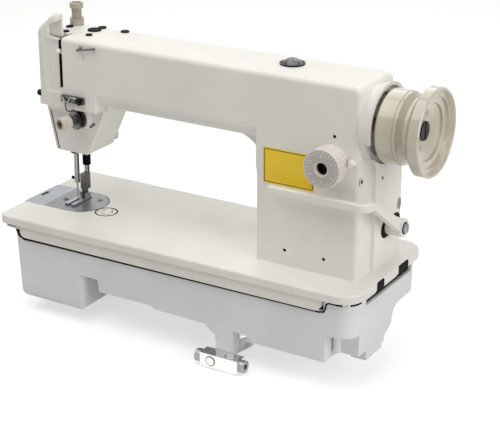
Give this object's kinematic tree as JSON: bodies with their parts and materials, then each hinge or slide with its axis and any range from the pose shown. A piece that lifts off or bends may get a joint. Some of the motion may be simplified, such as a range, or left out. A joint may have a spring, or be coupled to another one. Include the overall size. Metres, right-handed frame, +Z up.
{
  "type": "industrial sewing machine head",
  "caption": "Industrial lockstitch sewing machine head: hollow arm on a flat bed over an oil pan, with handwheel, stitch dial, reverse lever and knee lifter.",
  "frame": {"origin": "middle of the bed in the plane where the pan's lip rests on the table", "axes": "+X along the bed towards the handwheel, +Y away from the operator, +Z up"},
  "size_m": [0.5245, 0.1871, 0.3625],
  "materials": {
    "enamel": "textured off-white enamel",
    "pan_plastic": "grey moulded plastic",
    "beige": "satin beige enamel",
    "dial_plastic": "light grey moulded plastic",
    "steel": "ground steel",
    "chrome": "bright chrome",
    "black_steel": "blackened steel",
    "bronze": "sintered bronze",
    "rubber": "soft black rubber",
    "clear": "clear moulded window",
    "cream": "cream lacquer",
    "black_plastic": "black plastic plug"
  },
  "bodies": {
    "machine": {"bed_casting": "enamel", "arm_casting": "enamel", "face_plate": "enamel", "takeup_guard": "enamel", "arm_rear_cover": "enamel", "cover_screws": "black_steel", "arm_plugs": "black_plastic", "oil_sight_ring": "chrome", "oil_sight_window": "clear", "regulator_lock_nut": "beige", "needle_plate": "steel", "needle_plate_screws": "steel", "bed_oil_cap": "steel", "oil_pan": "pan_plastic", "corner_cushions": "rubber", "shaft_bushes": "bronze", "takeup_pivot": "steel", "presser_bar_bush": "black_steel", "upper_thread_guide": "chrome", "lower_thread_guide": "steel", "tension_post": "steel", "tension_discs": "chrome", "tension_spring": "steel", "dial_index_pin": "steel", "bobbin_case": "steel"},
    "drive": {"main_shaft": "steel", "handwheel": "beige", "handwheel_screw": "black_steel", "needle_bar_crank": "steel", "main_bevel_gear": "steel"},
    "upright": {"upright_shaft": "steel", "upright_upper_gear": "steel", "upright_lower_gear": "steel"},
    "hook": {"hook_shaft": "steel", "hook_shaft_gear": "steel", "rotary_hook": "steel"},
    "bobbin": {"bobbin": "steel"},
    "needle_bar": {"needle_bar": "steel", "needle": "steel", "needle_clamp_screw": "steel", "needle_bar_stud": "steel"},
    "link": {"needle_bar_link": "steel"},
    "takeup": {"takeup_lever": "chrome"},
    "presser": {"presser_bar": "steel", "presser_foot_shank": "steel", "presser_foot_screw": "steel"},
    "sole": {"presser_foot_sole": "steel"},
    "regulator": {"presser_regulator": "beige"},
    "dial": {"stitch_dial": "dial_plastic"},
    "reverse": {"reverse_lever": "enamel", "reverse_lever_screw": "steel"},
    "tension_nut": {"tension_nut": "cream"},
    "check_spring": {"check_spring": "steel"},
    "slide_plate": {"slide_plate": "steel"},
    "hand_lifter": {"hand_lifter": "steel"},
    "knee": {"knee_block": "chrome", "knee_block_bolts": "chrome", "knee_shaft": "steel"},
    "push_rod": {"knee_push_rod": "steel"},
    "feed_dog": {"feed_dog": "steel"}
  },
  "joints": [
    {"name": "main_shaft_spin", "type": "hinge", "parent": "machine", "child": "drive", "pos_m": [0.264, -0.006, 0.183], "axis": [1, 0, 0], "continuous": true},
    {"name": "upright_shaft_spin", "type": "hinge", "parent": "machine", "child": "upright", "pos_m": [0.13, -0.006, 0.078], "axis": [0, 0, 1], "continuous": true},
    {"name": "hook_shaft_spin", "type": "hinge", "parent": "machine", "child": "hook", "pos_m": [0, -0.006, -0.016], "axis": [1, 0, 0], "continuous": true},
    {"name": "bobbin_spin", "type": "hinge", "parent": "machine", "child": "bobbin", "pos_m": [-0.18, -0.006, -0.016], "axis": [1, 0, 0], "continuous": true},
    {"name": "needle_bar_slide", "type": "slide", "parent": "machine", "child": "needle_bar", "axis": [0, 0, 1], "range_m": [-0.013, 0.0177]},
    {"name": "needle_bar_link_hinge", "type": "hinge", "parent": "needle_bar", "child": "link", "pos_m": [-0.1605, -0.006, 0.1436], "axis": [1, 0, 0], "range_deg": [-42, 0]},
    {"name": "takeup_lever_hinge", "type": "hinge", "parent": "machine", "child": "takeup", "pos_m": [-0.1665, -0.018, 0.2], "axis": [1, 0, 0], "range_deg": [-15, 50]},
    {"name": "presser_bar_slide", "type": "slide", "parent": "machine", "child": "presser", "axis": [0, 0, 1], "range_m": [0, 0.009]},
    {"name": "presser_sole_hinge", "type": "hinge", "parent": "presser", "child": "sole", "pos_m": [-0.181, 0.008, 0.0205], "axis": [-1, 0, 0], "range_deg": [0, 5]},
    {"name": "presser_regulator_turn", "type": "hinge", "parent": "machine", "child": "regulator", "pos_m": [-0.186, 0.013, 0.25], "axis": [0, 0, 1], "range_deg": [-360, 360]},
    {"name": "stitch_dial_turn", "type": "hinge", "parent": "machine", "child": "dial", "pos_m": [0.185, -0.0464, 0.144], "axis": [0, -1, 0], "range_deg": [-10, 300]},
    {"name": "reverse_lever_hinge", "type": "hinge", "parent": "machine", "child": "reverse", "pos_m": [0.233, 0.021, 0.059], "axis": [1, 0, 0], "range_deg": [0, 20], "stiffness_Nm_per_rad": 2, "springref_deg": -8.59},
    {"name": "tension_nut_turn", "type": "hinge", "parent": "machine", "child": "tension_nut", "pos_m": [-0.15002, -0.03477, 0.1335], "axis": [-0.225, -0.9744, 0], "range_deg": [-360, 360]},
    {"name": "check_spring_hinge", "type": "hinge", "parent": "machine", "child": "check_spring", "pos_m": [-0.15002, -0.03477, 0.1335], "axis": [-0.225, -0.9744, 0], "range_deg": [0, 25], "stiffness_Nm_per_rad": 0.02, "springref_deg": -17.19},
    {"name": "slide_plate_slide", "type": "slide", "parent": "machine", "child": "slide_plate", "axis": [-1, 0, 0], "range_m": [0, 0.04]},
    {"name": "hand_lifter_hinge", "type": "hinge", "parent": "machine", "child": "hand_lifter", "pos_m": [-0.16, 0.022, 0.13], "axis": [0, -1, 0], "range_deg": [0, 60]},
    {"name": "knee_lifter_hinge", "type": "hinge", "parent": "machine", "child": "knee", "pos_m": [0.065, -0.0895, -0.097], "axis": [0, -1, 0], "range_deg": [0, 12]},
    {"name": "push_rod_slide", "type": "slide", "parent": "machine", "child": "push_rod", "axis": [0, 0, 1], "range_m": [0, 0.009]},
    {"name": "feed_dog_slide", "type": "slide", "parent": "machine", "child": "feed_dog", "axis": [0, 1, 0], "range_m": [-0.0025, 0.0025]}
  ],
  "couplings": [
    {"joint": "upright_shaft_spin", "follows": "main_shaft_spin", "ratio": 1},
    {"joint": "hook_shaft_spin", "follows": "main_shaft_spin", "ratio": 2},
    {"joint": "push_rod_slide", "follows": "presser_bar_slide", "ratio": 0.7442},
    {"joint": "knee_lifter_hinge", "follows": "presser_bar_slide", "rad_per_m": 23.256}
  ]
}
